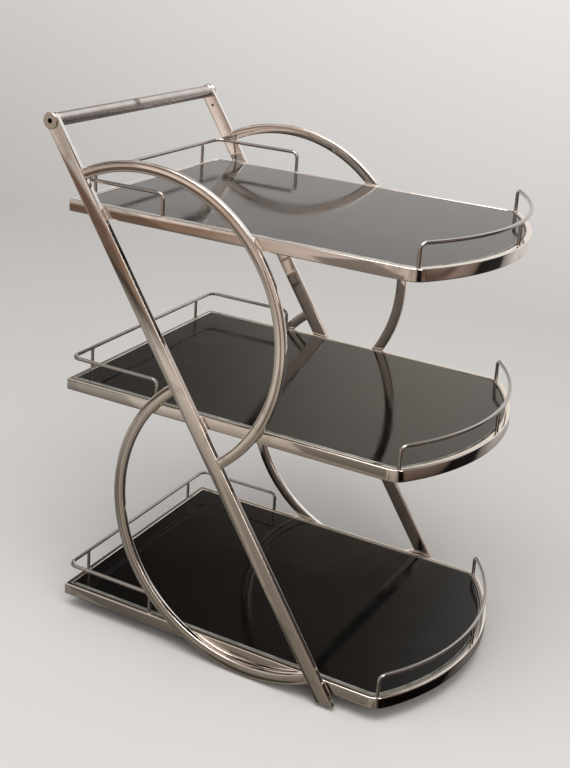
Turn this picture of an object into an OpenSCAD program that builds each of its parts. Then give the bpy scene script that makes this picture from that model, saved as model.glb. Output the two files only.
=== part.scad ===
// Three-tier serving trolley: leaning side posts with two hoops each, bowed shelves
// with dark glass, low rod galleries and a round push handle.
// Millimetres. +X points to the bowed front, +Z up. The origin is on the floor,
// under the middle of the trolley. Right and left are as the person pushing sees them.

/* [Overall] */
// Length from the back of the handle's end discs to the front of the shelves
overall_len = 711; // [680:1:740]
// Width over the outer faces of the side frames
overall_w = 460; // [420:1:500]
// Height of the handle's axis above the floor
handle_h = 846; // [820:1:880]

/* [Side frames] */
// Lean of the posts from upright, in degrees
post_lean = 32.7; // [31.5:0.1:34]
// Width of the post tube, seen from the side
post_w = 25; // [22:0.5:28]
// Thickness of the post and hoop tube, across the trolley
frame_t = 10; // [8:0.5:12]
// Radius of the rounded edges of the flat tube
tube_r = 2; // [1:0.25:3]
// Height of the posts' cut ends above the floor
foot_gap = 8; // [7:0.5:14]
// Thickness of the plate that closes a post's cut end
foot_cap_t = 1.5; // [1:0.25:3]
// Radius of the hoops, to the middle of their tube
hoop_r = 248; // [235:1:256]
// Radial width of the hoop tube
hoop_w = 18; // [15:0.5:20]
// How far a hoop's centre lies past the post's middle line, on the side away from its arc
hoop_set = 13; // [8:0.5:18]
// Height of the upper hoops' centres above the floor
upper_hoop_h = 550; // [540:1:565]
// Height of the lower hoops' undersides above the floor
hoop_floor_gap = 4; // [3:0.5:10]
// Diameter of the plating drain hole in the inner face of a post
drain_d = 5; // [3:0.5:6]
// Depth of the drain hole
drain_depth = 3.5; // [1:0.25:5]
// Distance of the drain hole below the handle's axis, along the post
drain_drop = 28; // [24:1:40]

/* [Handle] */
// Diameter of the handle bar
handle_d = 22.5; // [18:0.5:24.5]
// Size of the chamfers at the handle bar's ends
handle_edge = 1.4; // [0.4:0.1:2.5]
// Diameter of the discs on the outer faces of the posts' tops
disc_d = 27; // [26:0.5:30]
// Thickness of the end discs
disc_t = 3; // [2.5:0.25:4]
// Diameter of the handle screws
screw_d = 5; // [4:0.5:6]
// Diameter of the handle screws' heads
screw_head_d = 8; // [7.5:0.25:9]
// Height of the handle screws' heads
screw_head_h = 1.6; // [1.2:0.1:1.9]
// How far the handle screws reach into the handle bar
screw_in_handle = 14; // [10:1:30]
// Width of the hexagon socket in a handle screw, over its flats
socket_af = 4; // [3:0.25:5]
// Depth of the hexagon socket
socket_depth = 1.1; // [0.6:0.1:1.1]
// Size of the small chamfers round the end discs
soft_edge = 0.8; // [0.4:0.1:1]

/* [Shelves] */
// Length of a shelf, over its rails
shelf_len = 668; // [640:1:690]
// Height of the top shelf's rails, at their upper face
top_shelf_h = 725; // [710:1:740]
// Height of the middle shelf's rails, at their upper face
middle_shelf_h = 423; // [410:1:440]
// Height of the bottom shelf's rails, at their upper face
bottom_shelf_h = 43; // [42:0.5:50]
// Height of the rail tube
rail_h = 20; // [18:0.5:22]
// Width of the rail tube, seen from above
rail_w = 10; // [9:0.5:12]
// Outer radius of the bowed front
bow_r = 345; // [320:1:400]
// Outer radius of the two front corners
front_corner_r = 32.5; // [28:0.5:40]

/* [Glass] */
// Thickness of the glass
glass_t = 5; // [4:0.5:6]
// Gap all round between the glass and the rails
glass_gap = 3; // [2:0.25:4]
// How far the glass lies below the rails' upper face
glass_drop = 0.5; // [0.25:0.25:2]
// Width of the ground bevel round the upper edge of the glass
glass_bevel = 1.5; // [0.75:0.25:2]
// Width of the ledge strip that carries the glass
ledge_w = 12; // [10:0.5:15]
// Thickness of the ledge strip
ledge_t = 2; // [1.5:0.25:2.5]
// Diameter of the soft pads between the ledge and the glass
pad_d = 8; // [6:0.5:9]
// Thickness of the soft pads
pad_t = 1; // [0.75:0.25:1.5]
// Distance of the rearmost pads from the shelf's rear
pad_end_in = 80; // [60:5:120]

/* [Galleries] */
// Diameter of the gallery rod
rod_d = 6; // [5:0.25:7]
// Diameter of the uprights under the rod
upright_d = 5.5; // [4.5:0.25:5.75]
// Height of the rod's middle above the rails' upper face
gallery_h = 36; // [30:1:45]
// Radius of the bends down to the rails, to the middle of the rod
rod_bend_r = 10; // [8:0.5:13]
// Radius of the rear corners, to the middle of the rod
gallery_corner_r = 14; // [10:1:25]
// Length of the rear gallery along each side rail
rear_gallery_len = 167; // [140:1:200]
// Distance of the two rear uprights from the middle
upright_y = 160; // [130:1:180]
// How far the front rod's middle lies behind the front rail's outer face
front_rod_in = 5; // [4.5:0.25:6.5]

/* [Castors] */
// Distance of the rear castors' pins in front of the shelf's rear end
rear_castor_in = 58; // [45:1:80]
// Distance of the front castors' pins behind the shelf's front
front_castor_in = 121; // [115:1:150]
// Distance of the castors' pins from the middle
castor_y = 150; // [120:1:155]
// Width of the two flat strips that carry the castors
strip_w = 34; // [32:0.5:40]
// Thickness of the flat strips
strip_t = 3; // [2:0.25:3]
// Gap between the strips' ends and the side rails
strip_end_gap = 2; // [1:0.5:6]
// Diameter of the castor wheels
wheel_d = 24; // [22:0.5:24.5]
// Width of the castor wheels
wheel_w = 12; // [10:0.5:14]
// Distance of the wheel's axle behind the swivel pin
castor_trail = 9; // [7:0.5:11]
// Side of the square castor plate
plate_w = 32; // [30:0.5:32]
// Thickness of the castor plate
plate_t = 2; // [1.5:0.25:2.5]
// Radius of the castor plate's corners
plate_corner_r = 3; // [1:0.5:4]
// Distance between the plate's screws
plate_pitch = 23; // [21:0.5:23]
// Diameter of the plate's screws
plate_screw_d = 3; // [2.5:0.25:3.5]
// Diameter of the plate's screws' heads
plate_screw_head_d = 5.5; // [5:0.25:6]
// Height of the plate's screws' heads
plate_screw_head_h = 1.5; // [1:0.25:1.5]
// Diameter of the raised boss under the plate
boss_d = 16; // [12:1:20]
// Height of the raised boss
boss_h = 1.5; // [1.5:0.1:2]
// Diameter of the swivel pin
pin_d = 6; // [5:0.25:7]
// Height of the pin's riveted head
pin_head_h = 1; // [0.75:0.25:1.5]
// Diameter of the wheel's axle
axle_d = 4; // [3:0.25:4.5]
// Height of the axle's riveted heads
axle_head_h = 1; // [0.5:0.25:1.5]
// How far the riveted heads stand out past the pin and the axle all round
rivet_lip = 1.5; // [1:0.25:2]
// Thickness of the fork's sheet steel
fork_t = 1.5; // [1.25:0.25:2]
// Diameter of the fork's round top plate
fork_d = 22; // [20:1:24]
// How far the fork's cheeks reach ahead of the pin
cheek_front = 2; // [0:0.5:5]
// Width of the fork's metal round the axle
axle_boss_wall = 2.5; // [2:0.25:3]
// Gap between the wheel's hub and each of the fork's cheeks
wheel_side_gap = 0.5; // [0.3:0.1:1]
// Wall of the wheel's hub round the axle
hub_wall = 3; // [2:0.25:4]
// Height of the tyre outside the recesses in the wheel's sides
tyre_h = 3.5; // [2.5:0.25:4.5]
// Depth of the recesses in the wheel's sides
web_recess = 2.5; // [1:0.25:4]
// Radius of the tyre's rounded edges
tread_edge_r = 2; // [0.5:0.25:2.5]

/* [Hidden] */

$fn = 96;
// Facets of the long arcs and of the rods
arc_fn = 240;
rod_fn = 32;
// Longer than any part, for cutting blocks
far = 2000;
// Radial clearance of a pin that turns in a hole
running = 0.05;
// Gap between parts that turn past each other
turning_gap = 0.3;
// Gap between a handle screw's head or shank and the hole round it
head_clear = 0.25;
// How far the pieces of a bent tube run into its bends, and how much fuller a bend is
lap = 0.4;
bend_fuller = 0.01;
// Share of a section that the block inside a mitred corner takes
mitre_core = 0.8;

// Sides and ends of the trolley, and of a post
RIGHT = -1;
LEFT = 1;
REAR = -1;
FRONT = 1;

// Places that follow from the sizes above
front_x = overall_len / 2;
handle_x = -overall_len / 2 + disc_d / 2;
rear_x = front_x - shelf_len;
post_len = (handle_h - foot_gap) / cos(post_lean);
frame_y = overall_w / 2 - frame_t / 2;
inner_y = overall_w / 2 - frame_t;

// Shelf outline: straight sides, one arc across the front, a round corner between them
bow_x = front_x - bow_r;
corner_y = inner_y - front_corner_r;
corner_x = bow_x + sqrt(pow(bow_r - front_corner_r, 2) - corner_y * corner_y);
corner_a = atan2(corner_y, corner_x - bow_x);

// Heights inside a shelf, measured down from the rails' upper face
glass_foot = glass_drop + glass_t;
ledge_top = glass_foot + pad_t;
ledge_foot = ledge_top + ledge_t;

// Castor heights above the floor, each level hanging under the one before
strip_foot_h = bottom_shelf_h - ledge_foot - strip_t;
plate_foot_h = strip_foot_h - plate_t;
boss_foot_h = plate_foot_h - boss_h;
fork_foot_h = boss_foot_h - turning_gap - fork_t;

// Castor sizes that follow from the pin, the axle and the wheel
pin_head_d = pin_d + 2 * rivet_lip;
axle_head_d = axle_d + 2 * rivet_lip;
axle_boss_r = axle_d / 2 + axle_boss_wall;
cheek_y = wheel_w / 2 + wheel_side_gap;
hub_r = axle_d / 2 + hub_wall;
rim_r = wheel_d / 2 - tyre_h;

// Height above the posts' outer faces at which the handle screws' heads sit
head_seat = disc_t - screw_head_h - soft_edge / 2;

// A point of the side frame: o ahead of the post's middle line, s along it up from the handle
function post_x(o, s) = handle_x - s * sin(post_lean) + o * cos(post_lean);
function post_s(o, z) = (z - handle_h - o * sin(post_lean)) / cos(post_lean);

lower_hoop_h = hoop_floor_gap + hoop_r + hoop_w / 2;
upper_hoop_x = post_x(-hoop_set, post_s(-hoop_set, upper_hoop_h));
lower_hoop_x = post_x(hoop_set, post_s(hoop_set, lower_hoop_h));

front_rod_r = bow_r - front_rod_in;

// Rectangle about the origin with rounded corners
module rounded_rect(w, h, r) {
  square([w - 2 * r, h], center = true);
  square([w, h - 2 * r], center = true);
  for (x = [-1, 1], y = [-1, 1])
    translate([x * (w / 2 - r), y * (h / 2 - r)])
      circle(r = r, $fn = 32);
}

// Side frames

module in_side_frame(side) {
  translate([0, side * frame_y, 0])
    children();
}

// Moves children to the handle's axis with +Z up along the post and +X ahead of it
module along_post() {
  translate([handle_x, 0, handle_h])
    rotate([0, -post_lean, 0])
      children();
}

// Round end of a flat tube, swept about the handle's axis
module post_round_end() {
  rotate([90, 0, 0])
    rotate_extrude(angle = 180)
      intersection() {
        rounded_rect(post_w, frame_t, tube_r);
        translate([0, -far / 2])
          square(far);
      }
}

module post(side) {
  overrun = post_w * tan(post_lean);
  color("silver")
    difference() {
      in_side_frame(side)
        along_post() {
          translate([0, 0, -post_len - overrun])
            linear_extrude(height = post_len + overrun)
              rounded_rect(post_w, frame_t, tube_r);
          post_round_end();
        }
      translate([-far / 2, -far / 2, foot_gap - far])
        cube(far);
      in_side_frame(side)
        along_post() {
          rotate([90, 0, 0])
            cylinder(h = far / 4, d = screw_d + 2 * head_clear, center = true);
          translate([0, -side * (frame_t / 2 - drain_depth), -drain_drop])
            rotate([side * 90, 0, 0])
              cylinder(h = frame_t, d = drain_d);
        }
    }
}

// Ring of hoop tube about its own centre, in the plane of a side frame
module hoop_arc(start, sweep) {
  rotate([90, 0, 0])
    rotate([0, 0, start])
      rotate_extrude(angle = sweep, $fn = arc_fn)
        translate([hoop_r, 0])
          rounded_rect(hoop_w, frame_t, tube_r);
}

// Keeps what lies past the front edge of the post, or past its rear edge
module beside_post(end) {
  intersection() {
    children();
    along_post()
      translate([end * (post_w / 2 + far / 2), 0, -far / 4])
        cube(far, center = true);
  }
}

module upper_hoop(side) {
  color("silver")
    in_side_frame(side)
      beside_post(FRONT)
        translate([upper_hoop_x, 0, upper_hoop_h])
          hoop_arc(post_lean - 90, 180);
}

module lower_hoop(side) {
  color("silver")
    in_side_frame(side)
      beside_post(REAR)
        translate([lower_hoop_x, 0, lower_hoop_h])
          hoop_arc(post_lean + 90, 180);
}

// Plate welded over the cut end of a post, flush with the tube's sides
module foot_cap(side) {
  reach = (post_w - 2 * tube_r) / cos(post_lean);
  color("silver")
    translate([post_x(0, post_s(0, foot_gap)), side * frame_y, foot_gap - foot_cap_t])
      linear_extrude(height = foot_cap_t)
        rounded_rect(reach, frame_t - tube_r, tube_r);
}

// Handle

module across_at_handle(side, y) {
  translate([handle_x, side * y, handle_h])
    rotate([-side * 90, 0, 0])
      children();
}

module handle_bar() {
  color("gainsboro")
    difference() {
      union() {
        translate([handle_x, 0, handle_h])
          rotate([90, 0, 0])
            cylinder(h = 2 * (inner_y - handle_edge), d = handle_d, center = true);
        for (side = [RIGHT, LEFT])
          across_at_handle(side, inner_y - handle_edge)
            cylinder(h = handle_edge, d1 = handle_d, d2 = handle_d - 2 * handle_edge);
      }
      for (side = [RIGHT, LEFT])
        across_at_handle(side, inner_y - screw_in_handle - 1)
          cylinder(h = far / 4, d = screw_d + 2 * running);
    }
}

// Disc on a post's top, with a stepped hole that takes the screw's head
module end_disc(side) {
  color("silver")
    across_at_handle(side, overall_w / 2)
      difference() {
        union() {
          cylinder(h = disc_t - soft_edge, d = disc_d);
          translate([0, 0, disc_t - soft_edge])
            cylinder(h = soft_edge, d1 = disc_d, d2 = disc_d - 2 * soft_edge);
        }
        cylinder(h = far, d = screw_d + 2 * head_clear, center = true);
        translate([0, 0, head_seat])
          cylinder(h = disc_t, d = screw_head_d + 2 * head_clear);
      }
}

module handle_screw(side) {
  shank = head_seat + frame_t + screw_in_handle;
  color("dimgray")
    across_at_handle(side, overall_w / 2 + head_seat)
      difference() {
        union() {
          cylinder(h = screw_head_h, d = screw_head_d);
          translate([0, 0, -shank])
            cylinder(h = shank, d = screw_d);
        }
        translate([0, 0, screw_head_h - socket_depth])
          linear_extrude(height = screw_head_h)
            polygon([for (i = [0:5]) socket_af / sqrt(3) * [cos(60 * i), sin(60 * i)]]);
      }
}

// Shelves

module both_sides() {
  children();
  mirror([0, 1, 0])
    children();
}

// Upright block on a plan polygon, tall enough to cut a rail
module mitre_block(points) {
  linear_extrude(height = 2 * rail_h, center = true)
    polygon(points);
}

// Sweeps its children from the nose round the left front corner to the side rail's end.
// $sweep_r is the outline's own radius on each stretch, and $fuller is what the section
// gains there on each side. One degree more at both ends is cut off square.
module sweep_front() {
  intersection() {
    translate([bow_x, 0, 0])
      rotate([0, 0, corner_a]) {
        rotate_extrude(start = -corner_a - 1, angle = corner_a + 1 + asin(lap / bow_r),
          $fn = arc_fn)
          let ($sweep_r = bow_r, $fuller = 0)
            children();
        translate([bow_r - front_corner_r, 0, 0])
          rotate_extrude(angle = 91 - corner_a)
            let ($sweep_r = front_corner_r, $fuller = bend_fuller)
              children();
      }
    translate([corner_x, 0, -far / 2])
      cube(far);
  }
}

// Sweeps a section, w by h, round a shelf's outline with its middle drawn in by inset.
// The rear corners are mitred. The section's +X points outward and its +Y up.
module around_shelf(inset, w, h) {
  back = rear_x + inset;
  side_y = inner_y - inset;
  // Half the width of the mitre blocks, which stand a little clear of the section
  half = w / 2 + 1;
  both_sides() {
    intersection() {
      translate([back - half, side_y, 0])
        rotate([90, 0, 90])
          linear_extrude(height = corner_x + lap - back + half)
            let ($fuller = 0)
              children();
      mitre_block([[back - half, side_y + half], [corner_x + 1, side_y + half],
        [corner_x + 1, side_y - half], [back + half, side_y - half]]);
    }
    sweep_front()
      translate([$sweep_r - inset, 0])
        children();
    // The mitred pieces share this block, which lies well under their faces
    translate([back, side_y, 0])
      cube(mitre_core * [w, w, h], center = true);
  }
  intersection() {
    translate([back, -side_y - half, 0])
      rotate([90, 0, 180])
        linear_extrude(height = 2 * (side_y + half))
          let ($fuller = 0)
            children();
    mitre_block([[back - half, -side_y - half], [back + half, half - side_y],
      [back + half, side_y - half], [back - half, side_y + half]]);
  }
}

module shelf_frame(top_h) {
  color("silver")
    translate([0, 0, top_h - rail_h / 2])
      around_shelf(rail_w / 2, rail_w, rail_h)
        rounded_rect(rail_w + 2 * $fuller, rail_h + 2 * $fuller, tube_r + $fuller);
}

// Flat strip inside the rails that carries the glass. Its fuller bends stay off the rails.
module ledge(top_h) {
  color("gray")
    translate([0, 0, top_h - ledge_top - ledge_t / 2])
      around_shelf(rail_w + ledge_w / 2, ledge_w, ledge_t)
        translate([-2 * $fuller, 0])
          square([ledge_w + 2 * $fuller, ledge_t + 2 * $fuller], center = true);
}

// Soft pads on the ledge, three along each side and one at the nose
module glass_pads(top_h) {
  pad_y = inner_y - rail_w - glass_gap - pad_d / 2;
  first_x = rear_x + pad_end_in;
  last_x = corner_x - pad_end_in / 2;
  color("dimgray")
    translate([0, 0, top_h - ledge_top]) {
      for (x = [first_x, (first_x + last_x) / 2, last_x], side = [RIGHT, LEFT])
        translate([x, side * pad_y, 0])
          cylinder(h = pad_t, d = pad_d);
      translate([front_x - rail_w - glass_gap - pad_d / 2, 0, 0])
        cylinder(h = pad_t, d = pad_d);
    }
}

// Half section of the glass out to a given reach, with its upper edge bevelled
module glass_section(reach) {
  polygon([[0, 0], [reach, 0], [reach, glass_t - glass_bevel], [reach - glass_bevel, glass_t],
    [0, glass_t]]);
}

module glass(top_h) {
  inset = rail_w + glass_gap;
  back = rear_x + inset;
  color("black")
    translate([0, 0, top_h - glass_foot]) {
      intersection() {
        translate([back - 1, 0, 0])
          rotate([90, 0, 90])
            linear_extrude(height = corner_x - back + 2) {
              glass_section(inner_y - inset);
              mirror([1, 0])
                glass_section(inner_y - inset);
            }
        translate([corner_x + lap, overall_w / 2, 0])
          rotate([90, 0, 0])
            linear_extrude(height = overall_w)
              mirror([1, 0])
                glass_section(corner_x + lap - back);
      }
      both_sides()
        sweep_front()
          glass_section($sweep_r - inset + $fuller);
    }
}

// Galleries

// Straight rod up from the origin
module rod(h) {
  cylinder(h = h, d = rod_d, $fn = rod_fn);
}

// Post that carries the rod between its ends
module upright() {
  cylinder(h = gallery_h, d = upright_d, $fn = rod_fn);
}

// Rod bent round +Z, from +X through a quarter turn, as much fuller all round as asked
module rod_bend(r, fuller = 0) {
  rotate_extrude(angle = 90)
    translate([r, 0])
      circle(d = rod_d + 2 * fuller, $fn = rod_fn);
}

module rear_gallery(top_h) {
  run_x = rear_x + rail_w / 2;
  run_y = inner_y - rail_w / 2;
  end_x = run_x + rear_gallery_len;
  color("silver")
    translate([0, 0, top_h])
      both_sides() {
        translate([end_x, run_y, 0])
          rod(gallery_h - rod_bend_r);
        translate([end_x - rod_bend_r, run_y, gallery_h - rod_bend_r])
          rotate([90, 0, 0])
            rod_bend(rod_bend_r);
        translate([run_x + gallery_corner_r, run_y, gallery_h])
          rotate([0, 90, 0])
            rod(rear_gallery_len - rod_bend_r - gallery_corner_r);
        translate([run_x + gallery_corner_r, run_y - gallery_corner_r, gallery_h])
          rotate([0, 0, 90])
            rod_bend(gallery_corner_r);
        translate([run_x, 0, gallery_h])
          rotate([-90, 0, 0])
            rod(run_y - gallery_corner_r);
        translate([run_x, upright_y, 0])
          upright();
      }
}

// The rod follows the bow as far as the round corners, then bends down along the tangent.
// The straight stretches run a little way into the bends.
module front_gallery(top_h) {
  half_a = corner_a + asin(lap / front_rod_r);
  color("silver")
    translate([bow_x, 0, top_h]) {
      translate([0, 0, gallery_h])
        rotate_extrude(start = -half_a, angle = 2 * half_a, $fn = arc_fn)
          translate([front_rod_r, 0])
            circle(d = rod_d, $fn = rod_fn);
      both_sides()
        rotate([0, 0, corner_a])
          translate([front_rod_r, 0, 0]) {
            translate([0, 0, gallery_h - rod_bend_r])
              rotate([90, 0, 90])
                rod_bend(rod_bend_r, bend_fuller);
            translate([0, rod_bend_r, bend_fuller])
              rod(gallery_h - rod_bend_r + lap - bend_fuller);
          }
      translate([front_rod_r, 0, 0])
        upright();
    }
}

// Castors

function castor_x(end) = end == REAR ? rear_x + rear_castor_in : front_x - front_castor_in;

module at_castor(end, side) {
  translate([castor_x(end), side * castor_y, 0])
    children();
}

module at_axle(end, side) {
  at_castor(end, side)
    translate([-castor_trail, 0, wheel_d / 2])
      rotate([90, 0, 0])
        children();
}

module at_plate_screws() {
  for (x = [-1, 1], y = [-1, 1])
    translate([x * plate_pitch / 2, y * plate_pitch / 2, 0])
      children();
}

// Flat strip across the bottom shelf, welded under its ledge
module castor_strip(end) {
  color("silver")
    difference() {
      translate([castor_x(end), 0, strip_foot_h + strip_t / 2])
        cube([strip_w, 2 * (inner_y - rail_w - strip_end_gap), strip_t], center = true);
      for (side = [RIGHT, LEFT])
        at_castor(end, side)
          at_plate_screws()
            cylinder(h = far, d = plate_screw_d + 2 * running, center = true);
    }
}

module castor_screws() {
  color("gray")
    for (end = [REAR, FRONT], side = [RIGHT, LEFT])
      at_castor(end, side)
        at_plate_screws() {
          translate([0, 0, plate_foot_h])
            cylinder(h = plate_t + strip_t, d = plate_screw_d);
          translate([0, 0, plate_foot_h - plate_screw_head_h])
            cylinder(h = plate_screw_head_h, d = plate_screw_head_d);
        }
}

// Castor plate with the swivel pin riveted into it
module castor_plate(end, side) {
  pin_foot_h = fork_foot_h - turning_gap;
  color("silver")
    at_castor(end, side) {
      difference() {
        translate([0, 0, plate_foot_h])
          linear_extrude(height = plate_t)
            rounded_rect(plate_w, plate_w, plate_corner_r);
        at_plate_screws()
          cylinder(h = far, d = plate_screw_d + 2 * running, center = true);
      }
      translate([0, 0, boss_foot_h])
        cylinder(h = boss_h, d = boss_d);
      translate([0, 0, pin_foot_h])
        cylinder(h = boss_foot_h - pin_foot_h, d = pin_d);
      translate([0, 0, pin_foot_h - pin_head_h])
        cylinder(h = pin_head_h, d = pin_head_d);
    }
}

// Fork that turns on the pin, a top plate with a cheek on each side of the wheel
module fork(end, side) {
  back = castor_trail + axle_boss_r;
  color("silver")
    difference() {
      union() {
        at_castor(end, side)
          translate([0, 0, fork_foot_h])
            linear_extrude(height = fork_t) {
              circle(d = fork_d);
              translate([-back, -cheek_y - fork_t])
                square([back, 2 * (cheek_y + fork_t)]);
            }
        for (y = [-cheek_y - fork_t, cheek_y])
          at_axle(end, side)
            translate([0, 0, y])
              linear_extrude(height = fork_t) {
                circle(r = axle_boss_r);
                polygon([[-axle_boss_r, 0], [axle_boss_r, 0],
                  [castor_trail + cheek_front, fork_foot_h + fork_t - wheel_d / 2],
                  [-axle_boss_r, fork_foot_h + fork_t - wheel_d / 2]]);
              }
      }
      at_castor(end, side)
        cylinder(h = far, d = pin_d + 2 * running, center = true);
      at_axle(end, side)
        cylinder(h = 4 * wheel_w, d = axle_d + 2 * running, center = true);
    }
}

module axle(end, side) {
  span = 2 * (cheek_y + fork_t);
  color("gray")
    at_axle(end, side) {
      cylinder(h = span + axle_head_h, d = axle_d, center = true);
      for (y = [-span / 2 - axle_head_h, span / 2])
        translate([0, 0, y])
          cylinder(h = axle_head_h, d = axle_head_d);
    }
}

module wheel(end, side) {
  color("dimgray")
    at_axle(end, side)
      rotate_extrude()
        difference() {
          rounded_rect(wheel_d, wheel_w, tread_edge_r);
          translate([-far, -far / 2])
            square([far + axle_d / 2 + running, far]);
          for (y = [-1, 1])
            translate([(hub_r + rim_r) / 2, y * wheel_w / 2])
              square([rim_r - hub_r, 2 * web_recess], center = true);
        }
}

post(RIGHT);  // right_post
post(LEFT);  // left_post
upper_hoop(RIGHT);  // right_upper_hoop
upper_hoop(LEFT);  // left_upper_hoop
lower_hoop(RIGHT);  // right_lower_hoop
lower_hoop(LEFT);  // left_lower_hoop
foot_cap(RIGHT);  // right_foot_cap
foot_cap(LEFT);  // left_foot_cap
handle_bar();
end_disc(RIGHT);  // right_end_disc
end_disc(LEFT);  // left_end_disc
handle_screw(RIGHT);  // right_handle_screw
handle_screw(LEFT);  // left_handle_screw
shelf_frame(top_shelf_h);  // top_shelf_frame
shelf_frame(middle_shelf_h);  // middle_shelf_frame
shelf_frame(bottom_shelf_h);  // bottom_shelf_frame
ledge(top_shelf_h);  // top_ledge
ledge(middle_shelf_h);  // middle_ledge
ledge(bottom_shelf_h);  // bottom_ledge
glass_pads(top_shelf_h);  // top_pads
glass_pads(middle_shelf_h);  // middle_pads
glass_pads(bottom_shelf_h);  // bottom_pads
glass(top_shelf_h);  // top_glass
glass(middle_shelf_h);  // middle_glass
glass(bottom_shelf_h);  // bottom_glass
rear_gallery(top_shelf_h);  // top_rear_gallery
rear_gallery(middle_shelf_h);  // middle_rear_gallery
rear_gallery(bottom_shelf_h);  // bottom_rear_gallery
front_gallery(top_shelf_h);  // top_front_gallery
front_gallery(middle_shelf_h);  // middle_front_gallery
front_gallery(bottom_shelf_h);  // bottom_front_gallery
castor_strip(REAR);  // rear_castor_strip
castor_strip(FRONT);  // front_castor_strip
castor_screws();
castor_plate(REAR, RIGHT);  // rear_right_plate
castor_plate(REAR, LEFT);  // rear_left_plate
castor_plate(FRONT, RIGHT);  // front_right_plate
castor_plate(FRONT, LEFT);  // front_left_plate
fork(REAR, RIGHT);  // rear_right_fork
fork(REAR, LEFT);  // rear_left_fork
fork(FRONT, RIGHT);  // front_right_fork
fork(FRONT, LEFT);  // front_left_fork
axle(REAR, RIGHT);  // rear_right_axle
axle(REAR, LEFT);  // rear_left_axle
axle(FRONT, RIGHT);  // front_right_axle
axle(FRONT, LEFT);  // front_left_axle
wheel(REAR, RIGHT);  // rear_right_wheel
wheel(REAR, LEFT);  // rear_left_wheel
wheel(FRONT, RIGHT);  // front_right_wheel
wheel(FRONT, LEFT);  // front_left_wheel
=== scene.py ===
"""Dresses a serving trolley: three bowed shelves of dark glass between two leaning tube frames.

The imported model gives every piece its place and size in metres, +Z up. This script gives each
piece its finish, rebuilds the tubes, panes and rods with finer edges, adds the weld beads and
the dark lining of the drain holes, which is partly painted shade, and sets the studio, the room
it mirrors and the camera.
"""

import logging
import math
from dataclasses import dataclass, field
from enum import Enum

import bpy
import numpy as np
from mathutils import Matrix, Vector


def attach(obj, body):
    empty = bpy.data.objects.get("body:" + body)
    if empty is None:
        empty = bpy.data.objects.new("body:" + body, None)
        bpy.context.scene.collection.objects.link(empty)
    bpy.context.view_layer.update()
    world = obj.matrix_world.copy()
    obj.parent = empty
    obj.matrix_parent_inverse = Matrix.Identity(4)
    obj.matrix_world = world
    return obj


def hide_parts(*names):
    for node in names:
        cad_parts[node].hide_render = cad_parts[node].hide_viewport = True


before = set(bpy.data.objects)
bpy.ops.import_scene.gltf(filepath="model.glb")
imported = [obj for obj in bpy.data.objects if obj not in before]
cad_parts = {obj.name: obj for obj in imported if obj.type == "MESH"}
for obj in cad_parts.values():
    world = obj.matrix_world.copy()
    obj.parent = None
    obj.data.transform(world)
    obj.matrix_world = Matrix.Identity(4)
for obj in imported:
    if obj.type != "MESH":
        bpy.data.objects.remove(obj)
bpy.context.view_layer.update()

LOG = logging.getLogger("trolley")
MM = 0.001
GLASS_IOR = 1.52

Tree = bpy.types.NodeTree
Node = bpy.types.Node
Socket = bpy.types.NodeSocket


class Side(Enum):
    """The two side frames, by the sign of the Y they stand at."""

    RIGHT = -1
    LEFT = 1


class Tier(Enum):
    """The three shelves, by the height of their frame's top face in millimetres."""

    TOP = 725.0
    MIDDLE = 423.0
    BOTTOM = 43.0


# Colours and nodes


def hex_to_linear(code: str) -> tuple[float, float, float, float]:
    """Turns an sRGB hex colour into the linear colour that Blender's sockets take.

    Args:
        code: A colour such as "#D9D2CB".

    Returns:
        Linear red, green and blue, and an alpha of one.
    """
    raw = np.array([int(code[i:i + 2], 16) for i in (1, 3, 5)]) / 255.0
    lin = np.where(raw <= 0.04045, raw / 12.92, ((raw + 0.055) / 1.055) ** 2.4)
    return (float(lin[0]), float(lin[1]), float(lin[2]), 1.0)


def per_metre(size_mm: float) -> float:
    """Gives the texture scale at which a pattern's features are this many millimetres apart."""
    return 1000.0 / size_mm


def plug(tree: Tree, node: Node, inputs: dict) -> None:
    """Links or sets a node's inputs.

    Args:
        tree: The node's tree.
        node: The node.
        inputs: For an input's name or number, the socket to link to it or its constant.
    """
    for key, value in inputs.items():
        if isinstance(value, Socket):
            tree.links.new(value, node.inputs[key])
        else:
            node.inputs[key].default_value = value


def add_node(tree: Tree, kind: str, inputs: dict | None = None, **settings: object) -> Node:
    """Adds one shader node with its settings, constants and links.

    Args:
        tree: The node tree that the node goes into.
        kind: Blender's name of the node's type.
        inputs: For an input's name or number, the socket to link to it or its constant.
        settings: Properties of the node itself, by name.

    Returns:
        The new node.
    """
    node = tree.nodes.new(kind)
    for key, value in settings.items():
        setattr(node, key, value)
    plug(tree, node, inputs or {})
    return node


# Finishes


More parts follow.
